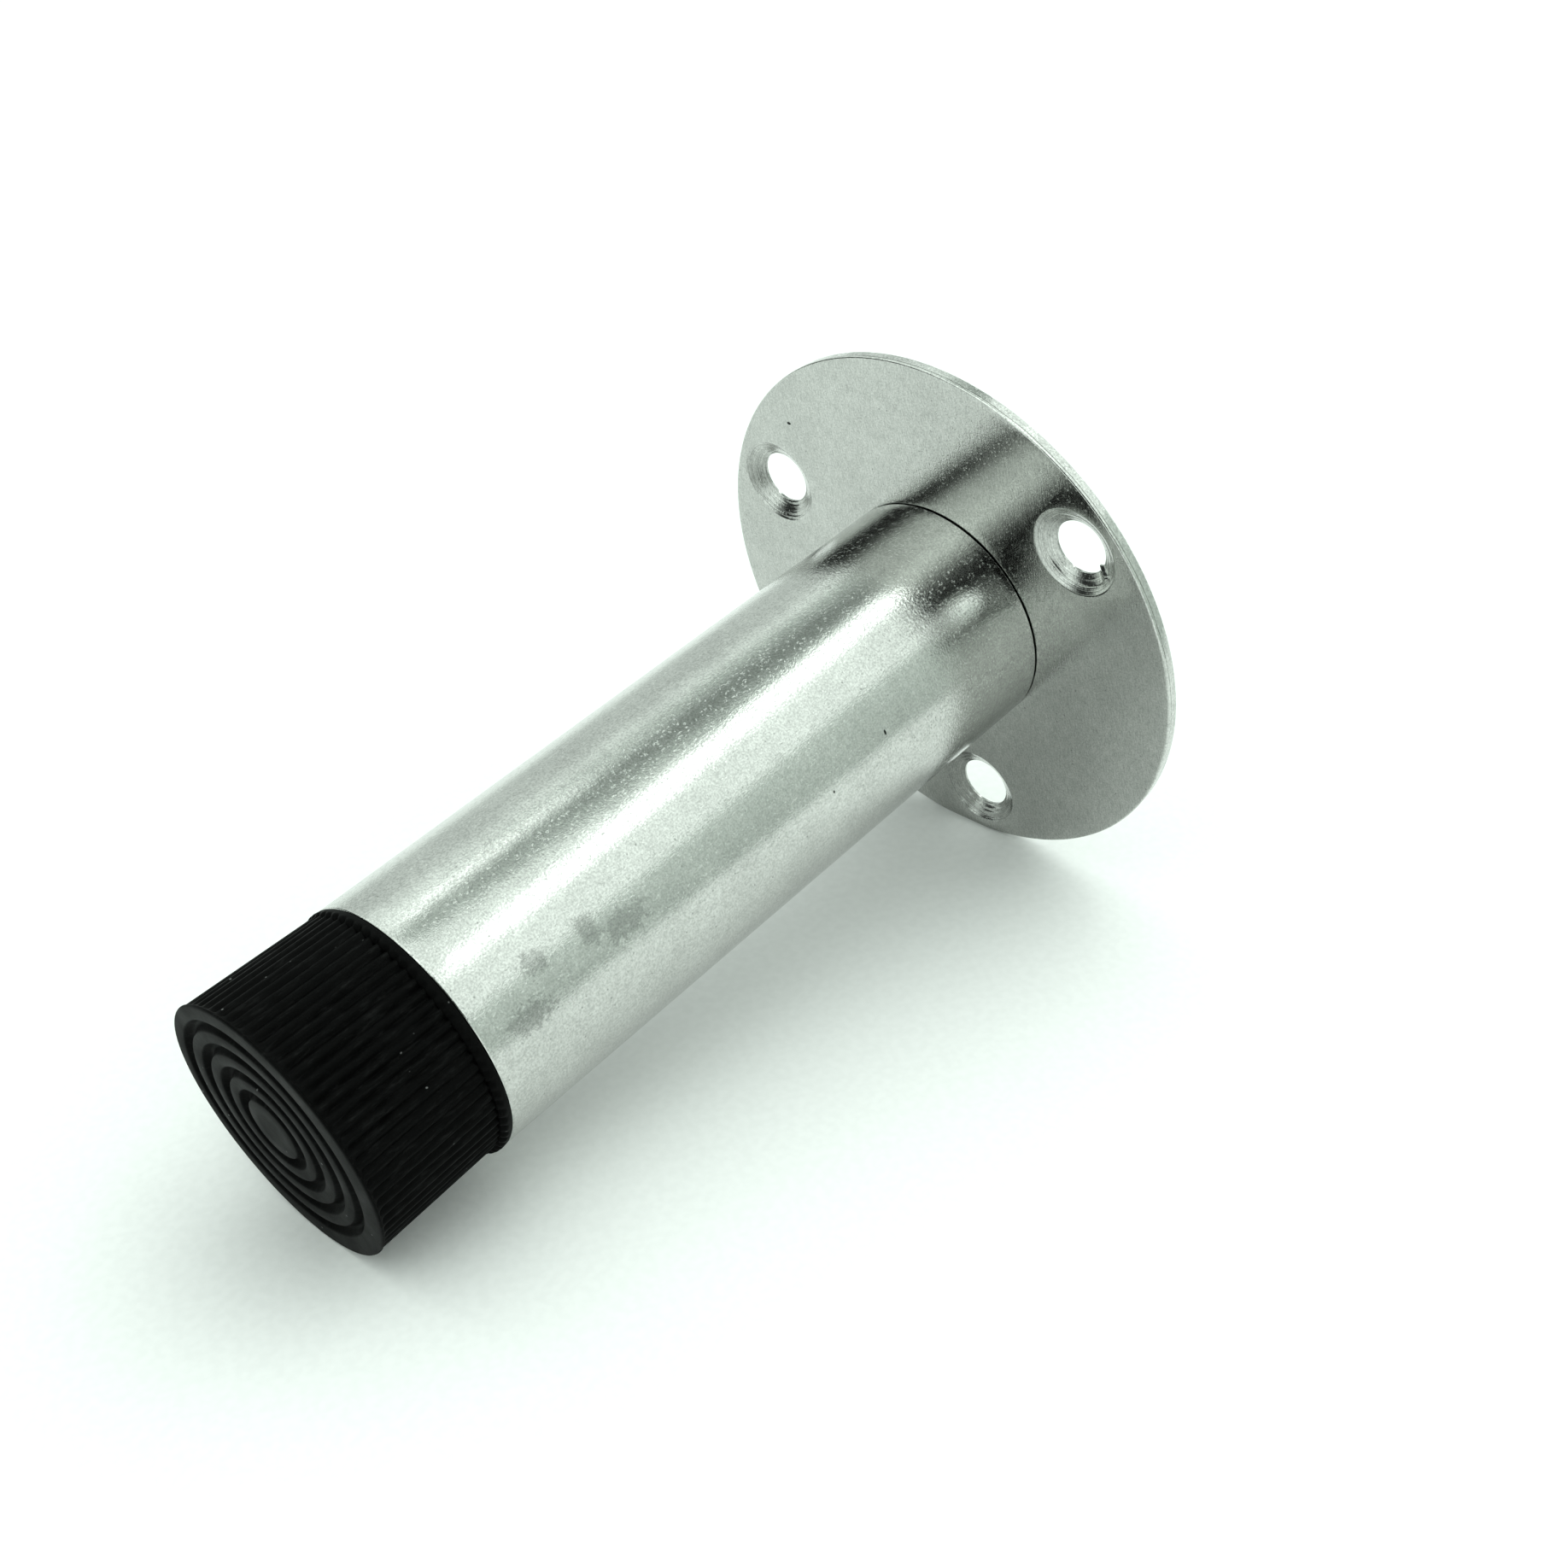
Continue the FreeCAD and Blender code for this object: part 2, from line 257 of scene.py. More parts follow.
def sink_cutter(name, angle, burr_angle=None):
    """The cutter of one fixing hole: straight at the back, then a cone with turned steps to the front.
    A burr angle leaves a small curl of metal standing in the cone there."""
    front = PLATE_FRONT
    beyond = 1.0
    cone_back = -SINK_LAND
    cone_start = (FIXING_HOLE_R + 0.10, cone_back - 0.07)
    cone_end = (SINK_R - 0.12, front + 0.07)
    steps = 16
    chatter_depth = 0.022
    chatter = [chatter_depth * noise.noise(Vector((step * 0.83, angle, 2.5))) for step in range(steps)]
    cone = [(r + shift, y + shift) for (r, y), shift in zip(spread(cone_start, cone_end, steps), chatter)]
    profile = [
        (0, beyond),
        (FIXING_HOLE_R, beyond),
        (FIXING_HOLE_R, cone_back),
        *cone,
        cone_end,
        (SINK_R - 0.02, front + 0.02),
        (SINK_R + 0.10, front - 0.008),
        (SINK_R + 0.10, front - beyond),
        (0, front - beyond),
    ]
    burr_height = 0.34
    burr_degrees = 5.0
    burr_inner_r, burr_outer_r = FIXING_HOLE_R - 0.1, SINK_R - 0.45

    def shape(around, radius, y):
        if burr_angle is None or not burr_inner_r < radius < burr_outer_r:
            return radius, y
        off = math.degrees(around) - burr_angle % 360
        return radius - burr_height * math.exp(-((off / burr_degrees) ** 2)), y

    cutter = new_object(turned_mesh(name, profile, SINK_COLUMNS, shape))
    finish_mesh(cutter.data, sharp_angle=30)
    middle = Vector((math.cos(math.radians(angle)), 0, math.sin(math.radians(angle))))
    cutter.data.transform(Matrix.Translation(middle * FIXING_CIRCLE_R * MM))
    return cutter


def make_plate():
    """The round plate, with its centre hole and three countersunk fixing holes, one with a burr."""
    mesh = turned_mesh("rose_plate", plate_profile(), PLATE_COLUMNS, plate_edge_shape, loop=True)
    plate = new_object(mesh)
    finish_mesh(mesh, sharp_angle=35)
    burr_hole = 1
    burr_angle = -40
    for index, angle in enumerate(FIXING_ANGLES):
        cutter = sink_cutter(f"sink_cutter_{index}", angle, burr_angle if index == burr_hole else None)
        cut = plate.modifiers.new(cutter.name, "BOOLEAN")
        cut.object = cutter
        cut.operation = "DIFFERENCE"
        cut.solver = "EXACT"
    shown = bpy.context.evaluated_depsgraph_get()
    cut_mesh = bpy.data.meshes.new_from_object(plate.evaluated_get(shown))
    cutters = [modifier.object for modifier in plate.modifiers]
    plate.modifiers.clear()
    plate.data = cut_mesh
    cut_mesh.name = "rose_plate"
    finish_mesh(cut_mesh, sharp_angle=28)
    for cutter in cutters:
        bpy.data.objects.remove(cutter)
    return plate


# ---------------------------------------------------------------- tube


def tube_profile():
    """The tube's wall. Its foot stands on a fine step, which leaves the dark hairline round the plate."""
    seam = 0.13
    seam_depth = 0.5
    foot_round = 0.05
    front_round = 0.2
    mouth = 0.15
    foot = PLATE_FRONT - seam
    return [
        (TUBE_R - seam_depth, PLATE_FRONT),
        (TUBE_R - seam_depth, foot),
        *arc(TUBE_R - foot_round, foot - foot_round, foot_round, 90, 0, 3),
        *spread((TUBE_R, foot - 1), (TUBE_R, TUBE_FRONT + 1), 48),
        *arc(TUBE_R - front_round, TUBE_FRONT + front_round, front_round, 0, -90, 5),
        (TUBE_BORE_R + mouth, TUBE_FRONT),
        (TUBE_BORE_R, TUBE_FRONT + mouth),
        (TUBE_BORE_R, PLATE_FRONT),
    ]


def tube_shape(angle, radius, y):
    """The drawn tube is a few microns out of round, which makes the long reflections waver."""
    if radius < TUBE_R - 0.02:
        return radius, y
    out_of_round = 0.008
    return radius - out_of_round * (1 + wander(angle, y * 0.35, across=9.0, seed=5.3)), y


def make_tube():
    """The plain tube."""
    mesh = turned_mesh("stop_tube", tube_profile(), TUBE_COLUMNS, tube_shape, loop=True)
    finish_mesh(mesh, sharp_angle=30)
    return new_object(mesh)


# ---------------------------------------------------------------- rubber buffer

FACE_RING_COUNT = 4
FACE_RING_FIRST = 3.1
FACE_RING_PITCH = 2.02
FACE_RING_MIDDLES = [FACE_RING_FIRST + FACE_RING_PITCH * ring for ring in range(FACE_RING_COUNT)]
FACE_RING_WIDTH = 1.0
FACE_RING_DEPTH = 0.6
FACE_RING_OFFSET = (-0.4, 0.1)
HEAD_REAR = TUBE_FRONT - RUBBER_GAP
COLLAR_R = 11.05
COLLAR_FRONT = TUBE_FRONT - 0.95
BARREL_REAR_R = 10.75
BARREL_FRONT_R = 11.05
BARREL_OFFSET = (-0.10, 0.12)
RIB_DEPTH = 0.3
RIBS_START = HEAD_REAR - 0.05
RIBS_END = RUBBER_FACE + 0.25
RIB_RUN_OUT = 0.4


def face_profile():
    """From the middle of the face to its lip: a disc, then flat ridges between round-bottomed grooves."""
    half = FACE_RING_WIDTH / 2
    soft = 0.07
    ridge = RUBBER_FACE + 0.005
    shoulder = RUBBER_FACE + 0.05
    wall = RUBBER_FACE + 0.22
    groove_round = 0.24
    groove_centre = RUBBER_FACE + FACE_RING_DEPTH - 0.2
    points = [(0, RUBBER_FACE + 0.03), (1.6, RUBBER_FACE + 0.02)]
    for middle in FACE_RING_MIDDLES:
        points += [
            (middle - half - soft, ridge),
            (middle - half, shoulder),
            (middle - half + soft, wall),
            *arc(middle, groove_centre, groove_round, 150, 30, 4),
            (middle + half - soft, wall),
            (middle + half, shoulder),
            (middle + half + soft, ridge),
        ]
    return points


def head_profile():
    """From the lip along the barrel to the neck. The collar is a piece of its own."""
    lip_round = 0.22
    lip_r = LIP_R - 0.05
    return [
        *arc(lip_r - lip_round, RUBBER_FACE + lip_round, lip_round, -90, 0, 6),
        *spread((BARREL_FRONT_R, RIBS_END + 0.1), (BARREL_REAR_R, RIBS_START), 36),
        (BARREL_REAR_R, RIBS_START),
        (BARREL_REAR_R - RIB_DEPTH, HEAD_REAR),
        (NECK_R, HEAD_REAR),
    ]


def collar_profile():
    """The collar between the ribs and the tube's end: rounded at the front, close to the tube behind."""
    front_round = 0.45
    rear_round = 0.12
    inner_r = NECK_R + 0.6
    rear = TUBE_FRONT - 0.02
    return [
        (inner_r, rear),
        *arc(TUBE_R - rear_round, rear - rear_round, rear_round, 90, 20, 3),
        *spread((COLLAR_R - 0.04, rear - 0.2), (COLLAR_R, COLLAR_FRONT + front_round), 4),
        *arc(COLLAR_R - front_round, COLLAR_FRONT + front_round, front_round, 0, -80, 8),
        (inner_r, COLLAR_FRONT),
    ]


def stem_profile():
    """The neck, and the barbs that grip the tube's bore."""
    neck_end = HEAD_REAR + NECK_LENGTH
    points = []
    for barb in range(BARB_COUNT):
        front = neck_end + barb * BARB_PITCH
        front_r = NECK_R if barb == 0 else STEM_ROOT_R
        points += [(front_r, front), (STEM_R, front), (STEM_R, front + BARB_LAND)]
    tip_start = neck_end + BARB_COUNT * BARB_PITCH
    return points + [(STEM_ROOT_R, tip_start), (STEM_TIP_R, RUBBER_END), (0, RUBBER_END)]


def smooth_step(value):
    """0 below 0, 1 above 1 and smooth between."""
    value = min(max(value, 0), 1)
    return value * value * (3 - 2 * value)


def rib_groove(angle, y):
    """The depth of the groove between two rounded ribs. The ribs waver and are not quite even."""
    broad_bend = 0.006 * wander(angle, y, across=5.0, seed=1.7)
    fine_bend = 0.0018 * wander(angle, y, across=0.9, seed=6.1)
    phase = math.cos(RIB_COUNT * (angle + broad_bend + fine_bend))
    depth = RIB_DEPTH * (0.95 + 0.35 * wander(angle, y, across=1.1, seed=4.4))
    sharpness = 1.6
    return depth * (0.5 - 0.5 * phase) ** sharpness


def rib_shape(angle, radius, y):
    """Cuts the ribs into the barrel. They run out at the lip."""
    if radius < BARREL_REAR_R - 0.01 or not RIBS_END - 0.02 < y < RIBS_START + 0.01:
        return radius, y
    return radius - smooth_step((y - RIBS_END) / RIB_RUN_OUT) * rib_groove(angle, y), y


def collar_shape(angle, radius, y):
    """The ribs run up onto the front of the collar and fade out."""
    if radius < COLLAR_R - 0.3:
        return radius, y
    last = COLLAR_FRONT + 0.6
    fade_length = 0.45
    return radius - smooth_step((last - y) / fade_length) * rib_groove(angle, y), y


def shift_barrel(mesh):
    """The head sits a little off the tube's axis, up and to -X; the neck and stem do not."""
    for vertex in mesh.vertices:
        if vertex.co.y < (HEAD_REAR - 0.01) * MM:
            vertex.co.x += BARREL_OFFSET[0] * MM
            vertex.co.z += BARREL_OFFSET[1] * MM


def shift_face_rings(mesh):
    """The rings of the real moulding are a little off centre. The shift fades out towards the lip."""
    outermost = FACE_RING_MIDDLES[-1] + FACE_RING_WIDTH
    for vertex in mesh.vertices:
        if vertex.co.y > (RUBBER_FACE + FACE_RING_DEPTH + 0.1) * MM:
            continue
        radius = math.hypot(vertex.co.x, vertex.co.z) / MM
        share = smooth_step((LIP_R - 0.3 - radius) / (LIP_R - outermost))
        vertex.co.x += FACE_RING_OFFSET[0] * share * MM
        vertex.co.z += FACE_RING_OFFSET[1] * share * MM


def make_rubber():
    """The buffer: ringed face, ribbed barrel, neck and barbed stem."""
    profile = face_profile() + head_profile() + stem_profile()
    mesh = turned_mesh("buffer_rubber", profile, RIB_COUNT * COLUMNS_PER_RIB, rib_shape)
    shift_face_rings(mesh)
    shift_barrel(mesh)
    finish_mesh(mesh, sharp_angle=42)
    return new_object(mesh)


def make_collar():
    """The buffer's collar. It fills the gap to the tube."""
    columns = RIB_COUNT * COLUMNS_PER_RIB
    mesh = turned_mesh("buffer_collar", collar_profile(), columns, collar_shape, loop=True)
    finish_mesh(mesh, sharp_angle=35)
    return new_object(mesh)


# ---------------------------------------------------------------- materials


def feed(tree, made, sockets):
    """Sets sockets of a node. A value is a number, a colour, or another node's output to link."""
    for name, value in sockets.items():
        if isinstance(value, bpy.types.NodeSocket):
            tree.links.new(value, made.inputs[name])
        else:
            made.inputs[name].default_value = value


def node(tree, kind, sockets=None, **settings):
    """A new shader node with those settings, and with its sockets fed."""
    made = tree.nodes.new("ShaderNode" + kind)
    for name, value in settings.items():
        setattr(made, name, value)
    feed(tree, made, sockets or {})
    return made


def new_material(name):
    """A material with one Principled shader. Returns the material, its tree and the shader."""
    material = bpy.data.materials.new(name)
    material.use_nodes = True
    tree = material.node_tree
    tree.nodes.clear()
    shader = node(tree, "BsdfPrincipled")
    node(tree, "OutputMaterial", {"Surface": shader.outputs["BSDF"]})
    return material, tree, shader


def place_in_mm(tree, stretch=(1, 1, 1)):
    """The object's own coordinates in millimetres, divided by stretch along each axis."""
    place = node(tree, "TexCoord").outputs["Object"]
    scale = tuple(1 / MM / part for part in stretch)
    return node(tree, "Mapping", {"Vector": place, "Scale": scale}).outputs["Vector"]


def noise_value(tree, place, feature_mm, detail, roughness=0.5):
    """Noise from 0 to 1 with features of about that size."""
    sockets = {"Vector": place, "Scale": 1 / feature_mm, "Detail": detail, "Roughness": roughness}
    return node(tree, "TexNoise", sockets).outputs["Fac"]


def ramp(tree, value, low, high, out_low=0.0, out_high=1.0):
    """Maps the range low..high smoothly onto out_low..out_high."""
    sockets = {"Value": value, "From Min": low, "From Max": high, "To Min": out_low, "To Max": out_high}
    return node(tree, "MapRange", sockets, interpolation_type="SMOOTHSTEP").outputs["Result"]


def maths(tree, operation, first, second):
    """One Math node."""
    return node(tree, "Math", {0: first, 1: second}, operation=operation).outputs["Value"]


def mix_colour(tree, share, first, second):
    """Mixes two colours by share."""
    factor, colour_a, colour_b, colour_out = 0, 6, 7, 2
    sockets = {factor: share, colour_a: first, colour_b: second}
    return node(tree, "Mix", sockets, data_type="RGBA").outputs[colour_out]


def bump(tree, height, depth_mm, normal=None):
    """A bump whose full height is depth_mm, on top of another normal."""
    sockets = {"Height": height, "Distance": depth_mm * MM, "Strength": 1.0}
    if normal is not None:
        sockets["Normal"] = normal
    return node(tree, "Bump", sockets).outputs["Normal"]


def specks(tree, place, spacing_mm, size_mm, share):
    """1 inside small scattered dots: a share of the cells of a Voronoi pattern hold one each."""
    made = node(tree, "TexVoronoi", {"Vector": place, "Scale": 1 / spacing_mm, "Randomness": 1.0})
    inside = ramp(tree, made.outputs["Distance"], size_mm / spacing_mm, 0.4 * size_mm / spacing_mm)
    picked = node(tree, "SeparateColor", {"Color": made.outputs["Color"]}).outputs["Red"]
    return maths(tree, "MULTIPLY", inside, maths(tree, "LESS_THAN", picked, share))


def grey(value, tint=(1.0, 1.0, 1.0)):
    """A grey, times a tint, as a colour."""
    return (value * tint[0], value * tint[1], value * tint[2], 1.0)


def vectors(tree, operation, first, second):
    """One VectorMath node that gives a vector."""
    return node(tree, "VectorMath", {0: first, 1: second}, operation=operation).outputs["Vector"]


def vector_length(tree, vector):
    """The length of a vector."""
    return node(tree, "VectorMath", {0: vector}, operation="LENGTH").outputs["Value"]


def off_axis(tree, vector):
    """The length of a vector without its part along the tube's axis."""
    return vector_length(tree, vectors(tree, "MULTIPLY", vector, (1, 0, 1)))


def near(tree, place, centre, reach):
    """1 at a place, falling to 0 at reach, which is the distance along each axis, in mm."""
    offset = vectors(tree, "SUBTRACT", place, centre)
    return ramp(tree, vector_length(tree, vectors(tree, "DIVIDE", offset, reach)), 1.0, 0.0)


def product(tree, factors):
    """All the factors multiplied together."""
    result = factors[0]
    for factor in factors[1:]:
        result = maths(tree, "MULTIPLY", result, factor)
    return result


def largest(tree, values):
    """The largest of the values, or 0 if there are none."""
    result = 0.0
    for value in values:
        result = maths(tree, "MAXIMUM", result, value)
    return result


NICKEL_TINT = (0.995, 1.005, 0.975)
STEEL_TINT = (0.98, 1.0, 1.03)
# The nickel's shade inside each kind of mark, where 1 is no darker.
PIT_SHADE = 0.60
STAIN_SHADE = 0.72
DIRT_SHADE = 0.08


def marked(tree, mask, shade):
    """1, and the shade where the mask is 1."""
    return ramp(tree, mask, 0.0, 1.0, 1.0, shade)


def turned_rings(tree, place, centres):
    """The tool marks in the countersinks: a mask of the cones, and noise in rings round each hole. The
    mask also takes in the back of the plate beside the holes, so the marks show faintly there."""
    y = node(tree, "SeparateXYZ", {"Vector": place}).outputs["Y"]
    nearest = 2 * PLATE_R
    for x, z in centres:
        distance = off_axis(tree, vectors(tree, "SUBTRACT", place, (x, 0, z)))
        nearest = maths(tree, "MINIMUM", distance, nearest)
    inside = ramp(tree, nearest, SINK_R + 0.15, SINK_R)
    below = ramp(tree, y, PLATE_FRONT + 0.01, PLATE_FRONT + 0.06)
    around = node(tree, "CombineXYZ", {"X": nearest}).outputs["Vector"]
    rings = noise_value(tree, around, feature_mm=0.13, detail=2.0, roughness=0.7)
    return maths(tree, "MULTIPLY", inside, below), rings


def dimple_mask(tree, place):
    """Tiny dents. A noise moves the pattern's cells off their grid, by up to jitter_mm along each axis."""
    jitter_mm = (0.40, 0.70, 0.40)
    jitter = node(tree, "TexNoise", {"Vector": place, "Scale": 5.0, "Detail": 2.0}).outputs["Color"]
    sockets = {0: jitter, 1: jitter_mm, 2: place}
    shifted = node(tree, "VectorMath", sockets, operation="MULTIPLY_ADD").outputs["Vector"]
    return specks(tree, shifted, spacing_mm=0.30, size_mm=0.11, share=0.5)


def stain_mask(tree, place, stains):
    """Ragged water stains, each (place, reach)."""
    near_one = largest(tree, [near(tree, place, centre, reach) for centre, reach in stains])
    blotch = noise_value(tree, place, feature_mm=0.55, detail=5.0, roughness=0.85)
    ragged = maths(tree, "ADD", near_one, maths(tree, "MULTIPLY", blotch, 3.4))
    return maths(tree, "MULTIPLY", ramp(tree, near_one, 0.0, 0.15), ramp(tree, ragged, 2.00, 2.30))


def dirt_mask(tree, place, flecks):
    """Scattered specks of dirt, and flecks, each (place, reach)."""
    dirt = specks(tree, place, spacing_mm=6.0, size_mm=0.16, share=0.16)
    near_one = largest(tree, [near(tree, place, centre, reach) for centre, reach in flecks])
    return largest(tree, [dirt, ramp(tree, near_one, 0.1, 0.4)])


def nickel(
    name,
    brightness,
    roughness,
    grain_stretch,
    grain_depth,
    grain_shade,
    peel_depth,
    dimple_depth,
    stains=(),
    flecks=(),
    sinks=(),
    rim_highlight=None,
):
    """Nickel plate: fine mottling and orange peel of the plating, drawn or rolled grain, pits and dirt.
    Depths are in mm. Stains and flecks are (place, reach), and sinks are the centres of countersunk
    holes. The last argument says how many times brighter the plate's rim is painted: a painted highlight
    where the rim catches the light."""
    material, tree, shader = new_material(name)
    place = place_in_mm(tree)

    peel = noise_value(tree, place, feature_mm=0.24, detail=3.0, roughness=0.7)
    waves = noise_value(tree, place, feature_mm=2.6, detail=1.0)
    grain_place = place_in_mm(tree, grain_stretch)
    lines = noise_value(tree, grain_place, feature_mm=0.20, detail=3.0, roughness=0.65)
    mottle = noise_value(tree, place, feature_mm=0.17, detail=2.0, roughness=0.7)
    patches = noise_value(tree, place, feature_mm=0.75, detail=4.0, roughness=0.65)
    cloud = noise_value(tree, place, feature_mm=5.0, detail=4.0, roughness=0.6)
    pits = specks(tree, place, spacing_mm=0.9, size_mm=0.11, share=0.30)
    stained = stain_mask(tree, place, stains)

    shades = [
        ramp(tree, cloud, 0.3, 0.7, brightness * 0.96, brightness * 1.04),
        ramp(tree, patches, 0.35, 0.68, 1.02, 0.94),
        ramp(tree, mottle, 0.34, 0.68, 1.07, 0.80),
        ramp(tree, lines, 0.35, 0.72, 1.02, grain_shade),
        marked(tree, pits, PIT_SHADE),
        marked(tree, stained, STAIN_SHADE),
        marked(tree, dirt_mask(tree, place, flecks), DIRT_SHADE),
    ]
    normal = bump(tree, waves, depth_mm=0.008)
    normal = bump(tree, peel, peel_depth, normal)
    normal = bump(tree, lines, grain_depth, normal)
    normal = bump(tree, dimple_mask(tree, place), -dimple_depth, normal)
    if rim_highlight:
        # Painted highlight: the plate's rim is brightened as if it caught the light.
        shades.append(ramp(tree, off_axis(tree, place), PLATE_R - 0.16, PLATE_R - 0.02, 1.0, rim_highlight))
    if sinks:
        in_sink, rings = turned_rings(tree, place, sinks)
        ring_shade = maths(tree, "SUBTRACT", ramp(tree, rings, 0.35, 0.65, 0.80, 1.15), 1.0)
        shades.append(maths(tree, "ADD", 1.0, product(tree, [in_sink, ring_shade])))
        normal = bump(tree, product(tree, [in_sink, rings]), 0.012, normal)

    rough = ramp(tree, cloud, 0.3, 0.7, roughness * 0.85, roughness * 1.15)
    rough = maths(tree, "ADD", rough, ramp(tree, peel, 0.4, 0.7, 0.0, 0.03))
    rough = maths(tree, "ADD", rough, maths(tree, "MULTIPLY", stained, 0.10))
    colour = mix_colour(tree, product(tree, shades), grey(0), grey(1, NICKEL_TINT))
    feed(tree, shader, {"Base Color": colour, "Normal": normal, "Roughness": rough, "Metallic": 1.0})
    return material


def make_plate_nickel():
    """The plate is rolled sheet: its short grain runs up and down. It has one dark fleck."""
    circle = [(math.cos(math.radians(angle)), math.sin(math.radians(angle))) for angle in FIXING_ANGLES]
    return nickel(
        "plate_satin_nickel",
        brightness=0.59,
        roughness=0.10,
        grain_stretch=(0.6, 1.0, 5.0),
        grain_depth=0.010,
        grain_shade=0.80,
        peel_depth=0.006,
        dimple_depth=0.006,
        flecks=[((-13.8, PLATE_FRONT, 16.7), (0.35, 0.3, 0.22))],
        sinks=[(x * FIXING_CIRCLE_R, z * FIXING_CIRCLE_R) for x, z in circle],
        # A painted highlight on the plate's rim.
        rim_highlight=1.12,
    )


def on_tube(angle, y):
    """A place on the tube's surface, in mm. The angle is in degrees from +X towards +Z."""
    return (TUBE_R * math.cos(math.radians(angle)), y, TUBE_R * math.sin(math.radians(angle)))


def make_tube_nickel():
    """The tube has coarser orange peel, some water stains near the buffer and two dark flecks."""
    stains = [
        (on_tube(30, -56.4), (1.8, 2.0, 1.6)),
        (on_tube(27, -51.6), (1.8, 1.7, 2.2)),
        (on_tube(20, -48.6), (2.0, 3.6, 2.0)),
        (on_tube(14, -58.8), (2.0, 3.4, 1.8)),
    ]
    return nickel(
        "tube_satin_nickel",
        brightness=0.61,
        roughness=0.09,
        grain_stretch=(0.5, 4.0, 0.5),
        grain_depth=0.004,
        grain_shade=0.93,
        peel_depth=0.016,
        dimple_depth=0.009,
        stains=stains,
        flecks=[(on_tube(12, -20.2), (0.5, 0.16, 0.36)), (on_tube(5.3, -27.1), (0.3, 0.14, 0.2))],
    )


def turned_steel(name, brightness, roughness):
    """Bare or zinc-plated turned steel: fine rings round the axis, dull patches and scuffs."""
    material, tree, shader = new_material(name)
    place = place_in_mm(tree)
    y = node(tree, "SeparateXYZ", {"Vector": place}).outputs["Y"]
    profile_place = node(tree, "CombineXYZ", {"X": off_axis(tree, place), "Y": y}).outputs["Vector"]
    rings = noise_value(tree, profile_place, feature_mm=0.12, detail=3.0)
    cloud = noise_value(tree, place, feature_mm=2.0, detail=4.0)
    scuffs = noise_value(tree, place, feature_mm=0.35, detail=4.0, roughness=0.7)
    dull, clean, scuffed = grey(brightness * 0.85), grey(brightness, STEEL_TINT), grey(brightness * 0.5)
    colour = mix_colour(tree, ramp(tree, cloud, 0.35, 0.65), dull, clean)
    colour = mix_colour(tree, ramp(tree, scuffs, 0.6, 0.75, 0.0, 0.5), colour, scuffed)
    normal = bump(tree, scuffs, 0.01, normal=bump(tree, rings, 0.02))
    rough = ramp(tree, cloud, 0.3, 0.7, roughness * 0.8, roughness * 1.3)
    feed(tree, shader, {"Base Color": colour, "Normal": normal, "Roughness": rough, "Metallic": 1.0})
    return material


def black_rubber(name, wear_and_shade):
    """Moulded rubber: almost black, dull, with a few light specks of dust. Bloom and painted sheen lighten
    its face: the sheen stands in for the face's grazing reflection.
    How far the scuffs lighten it is the second argument; the collar's low value there is painted shade,
    which keeps it darker than the buffer."""
    deep, black, worn, bloom_and_sheen_grey, dusty = (grey(level) for level in (0.001, 0.003, 0.02, 0.022, 0.22))
    material, tree, shader = new_material(name)
    place = place_in_mm(tree)
    y = node(tree, "SeparateXYZ", {"Vector": place}).outputs["Y"]
    cloud = noise_value(tree, place, feature_mm=3.0, detail=4.0)
    fine = noise_value(tree, place, feature_mm=0.16, detail=3.0, roughness=0.6)
    scuff_place = place_in_mm(tree, stretch=(0.5, 3.0, 0.5))
    scuffs = noise_value(tree, scuff_place, feature_mm=0.6, detail=4.0, roughness=0.7)
    dust = specks(tree, place, spacing_mm=1.6, size_mm=0.12, share=0.65)
    on_face = ramp(tree, y, RUBBER_FACE + 0.12, RUBBER_FACE + 0.01)
    # Bloom and painted sheen: the face is lightened to stand in for its grazing reflection.
    bloom_and_sheen = maths(tree, "MULTIPLY", on_face, ramp(tree, fine, 0.2, 0.8, 0.6, 1.0))
    colour = mix_colour(tree, cloud, deep, black)
    colour = mix_colour(tree, ramp(tree, scuffs, 0.5, 0.75, 0.0, wear_and_shade), colour, worn)
    colour = mix_colour(tree, bloom_and_sheen, colour, bloom_and_sheen_grey)
    colour = mix_colour(tree, maths(tree, "MULTIPLY", dust, 0.8), colour, dusty)
    normal = bump(tree, fine, 0.012, normal=bump(tree, cloud, 0.05))
    rough = ramp(tree, cloud, 0.3, 0.7, 0.5, 0.64)
    feed(tree, shader, {"Base Color": colour, "Normal": normal, "Roughness": rough})
    feed(tree, shader, {"Specular IOR Level": 0.08})
    return material


# ---------------------------------------------------------------- stage


def make_floor():
    """A pale floor through the two places where the object rests on it. It is clear from underneath."""
    material, tree, shader = new_material("floor_paper")
    place = place_in_mm(tree)
    tooth = noise_value(tree, place, feature_mm=0.8, detail=3.0)
    colour = mix_colour(tree, ramp(tree, tooth, 0.3, 0.7), grey(0.86), grey(0.89))
    feed(tree, shader, {"Base Color": colour, "Normal": bump(tree, tooth, 0.02)})
    feed(tree, shader, {"Roughness": 0.8, "Specular IOR Level": 0.1})
    behind = node(tree, "NewGeometry").outputs["Backfacing"]
    clear = node(tree, "BsdfTransparent").outputs["BSDF"]
    either = node(tree, "MixShader", {"Fac": behind, 1: shader.outputs["BSDF"], 2: clear})
    feed(tree, tree.nodes["Material Output"], {"Surface": either.outputs["Shader"]})

    half_width = 3.0
    down = Vector((-FLOOR_NORMAL.x, 0, -FLOOR_NORMAL.z)).normalized()
    touch = down * PLATE_R * MM
    work = bmesh.new()
    bmesh.ops.create_grid(work, x_segments=8, y_segments=8, size=half_width)
    mesh = bpy.data.meshes.new("floor")
    work.to_mesh(mesh)
    work.free()
    mesh.materials.append(material)
    floor = new_object(mesh)
    floor.rotation_mode = "QUATERNION"
    floor.rotation_quaternion = FLOOR_NORMAL.to_track_quat("Z", "Y")
    floor.location = touch


